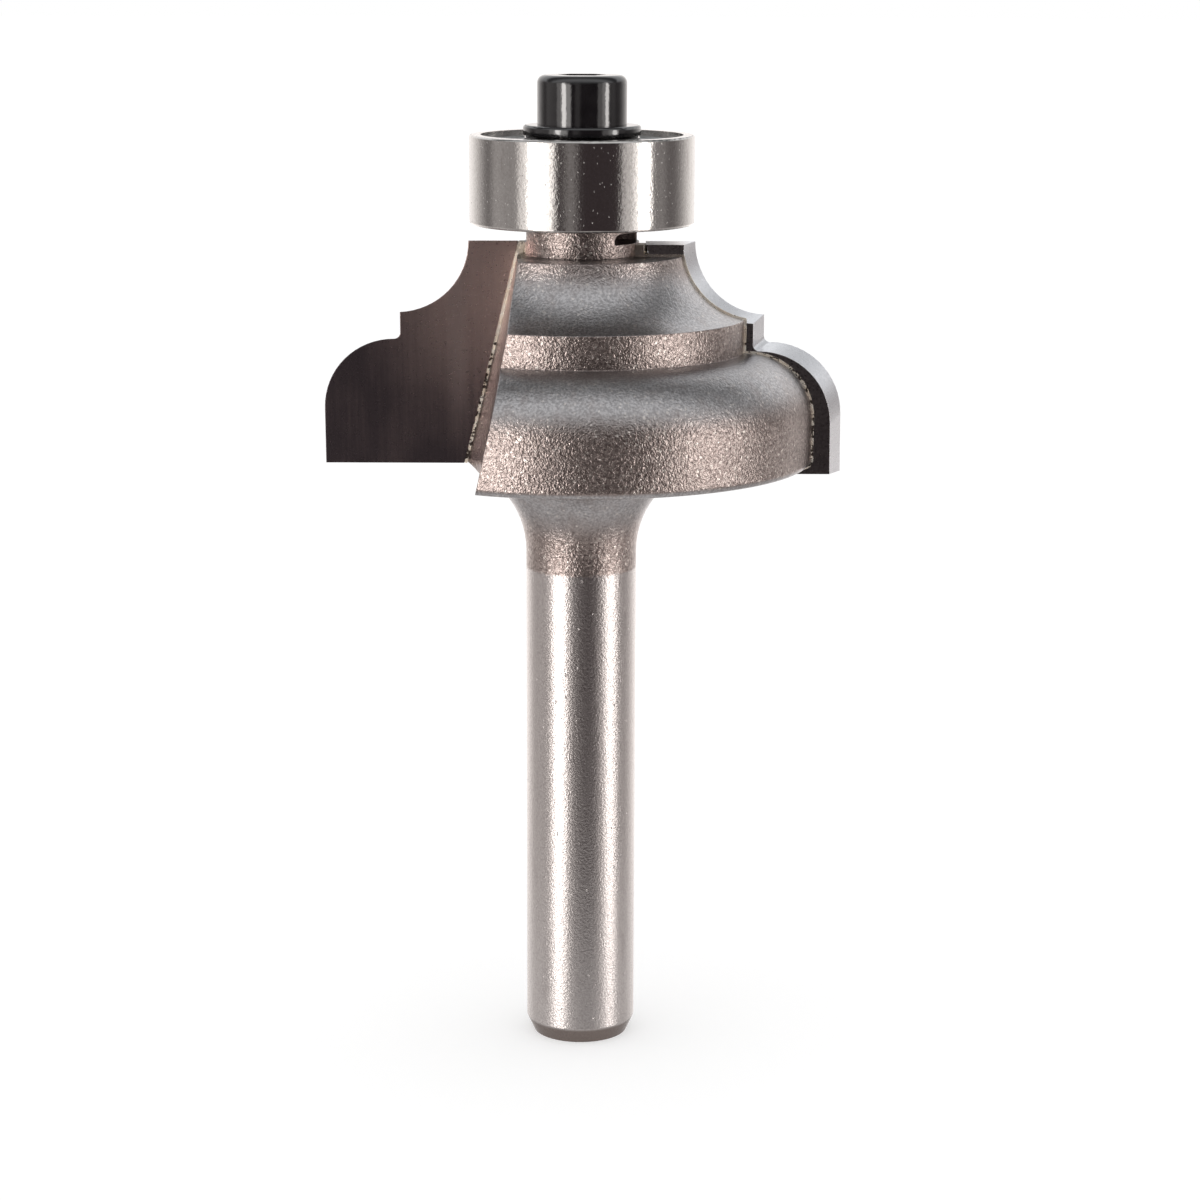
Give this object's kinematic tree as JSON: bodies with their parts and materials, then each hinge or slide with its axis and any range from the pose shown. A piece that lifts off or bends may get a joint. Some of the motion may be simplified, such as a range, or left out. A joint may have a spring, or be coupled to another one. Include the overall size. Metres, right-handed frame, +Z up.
{
  "type": "router bit",
  "caption": "Two-flute bead-and-cove router bit: carbide tips brazed to a turned steel body on a straight shank, with a shielded ball bearing guide held by a cap screw.",
  "frame": {"origin": "centre of the shank's end face, on which the bit stands", "axes": "+Z up the axis of rotation from the shank to the guide bearing; the left tip at -X has its cutting face towards -Y"},
  "size_m": [0.0296, 0.0264, 0.0562],
  "materials": {
    "body_steel": "bead blasted head and neck, ground and polished shank",
    "carbide": "ground tungsten carbide",
    "braze": "silver braze, as flowed",
    "ring_steel": "ground bearing steel",
    "shield_steel": "pressed steel sheet",
    "cage_steel": "pressed steel ribbon",
    "ball_steel": "lapped",
    "black_oxide": "glossy black oxide"
  },
  "bodies": {
    "cutter": {"cutter_body": "body_steel", "carbide_tip_left": "carbide", "carbide_tip_right": "carbide", "braze_seam_left": "braze", "braze_seam_right": "braze", "bearing_inner_ring": "ring_steel", "washer": "black_oxide", "bearing_screw": "black_oxide"},
    "outer_ring": {"bearing_outer_ring": "ring_steel", "shield_upper": "shield_steel", "shield_lower": "shield_steel"},
    "cage": {"cage_upper": "cage_steel", "cage_lower": "cage_steel"},
    "ball_1": {"ball_1": "ball_steel"},
    "ball_2": {"ball_2": "ball_steel"},
    "ball_3": {"ball_3": "ball_steel"},
    "ball_4": {"ball_4": "ball_steel"},
    "ball_5": {"ball_5": "ball_steel"},
    "ball_6": {"ball_6": "ball_steel"},
    "ball_7": {"ball_7": "ball_steel"}
  },
  "joints": [
    {"name": "bearing_spin", "type": "hinge", "parent": "cutter", "child": "outer_ring", "pos_m": [0, 0, 0.05037], "axis": [0, 0, 1], "continuous": true},
    {"name": "cage_spin", "type": "hinge", "parent": "cutter", "child": "cage", "pos_m": [0, 0, 0.05037], "axis": [0, 0, 1], "continuous": true},
    {"name": "ball_1_spin", "type": "hinge", "parent": "cage", "child": "ball_1", "pos_m": [0.00405, 0.00164, 0.05037], "axis": [0, 0, 1], "continuous": true},
    {"name": "ball_2_spin", "type": "hinge", "parent": "cage", "child": "ball_2", "pos_m": [0.00125, 0.00418, 0.05037], "axis": [0, 0, 1], "continuous": true},
    {"name": "ball_3_spin", "type": "hinge", "parent": "cage", "child": "ball_3", "pos_m": [-0.0025, 0.00358, 0.05037], "axis": [0, 0, 1], "continuous": true},
    {"name": "ball_4_spin", "type": "hinge", "parent": "cage", "child": "ball_4", "pos_m": [-0.00436, 0.00028, 0.05037], "axis": [0, 0, 1], "continuous": true},
    {"name": "ball_5_spin", "type": "hinge", "parent": "cage", "child": "ball_5", "pos_m": [-0.00294, -0.00323, 0.05037], "axis": [0, 0, 1], "continuous": true},
    {"name": "ball_6_spin", "type": "hinge", "parent": "cage", "child": "ball_6", "pos_m": [0.00069, -0.00431, 0.05037], "axis": [0, 0, 1], "continuous": true},
    {"name": "ball_7_spin", "type": "hinge", "parent": "cage", "child": "ball_7", "pos_m": [0.0038, -0.00215, 0.05037], "axis": [0, 0, 1], "continuous": true}
  ],
  "couplings": [
    {"joint": "cage_spin", "follows": "bearing_spin", "ratio": 0.63635},
    {"joint": "ball_1_spin", "follows": "bearing_spin", "ratio": 1.6972},
    {"joint": "ball_2_spin", "follows": "bearing_spin", "ratio": 1.6972},
    {"joint": "ball_3_spin", "follows": "bearing_spin", "ratio": 1.6972},
    {"joint": "ball_4_spin", "follows": "bearing_spin", "ratio": 1.6972},
    {"joint": "ball_5_spin", "follows": "bearing_spin", "ratio": 1.6972},
    {"joint": "ball_6_spin", "follows": "bearing_spin", "ratio": 1.6972},
    {"joint": "ball_7_spin", "follows": "bearing_spin", "ratio": 1.6972}
  ]
}
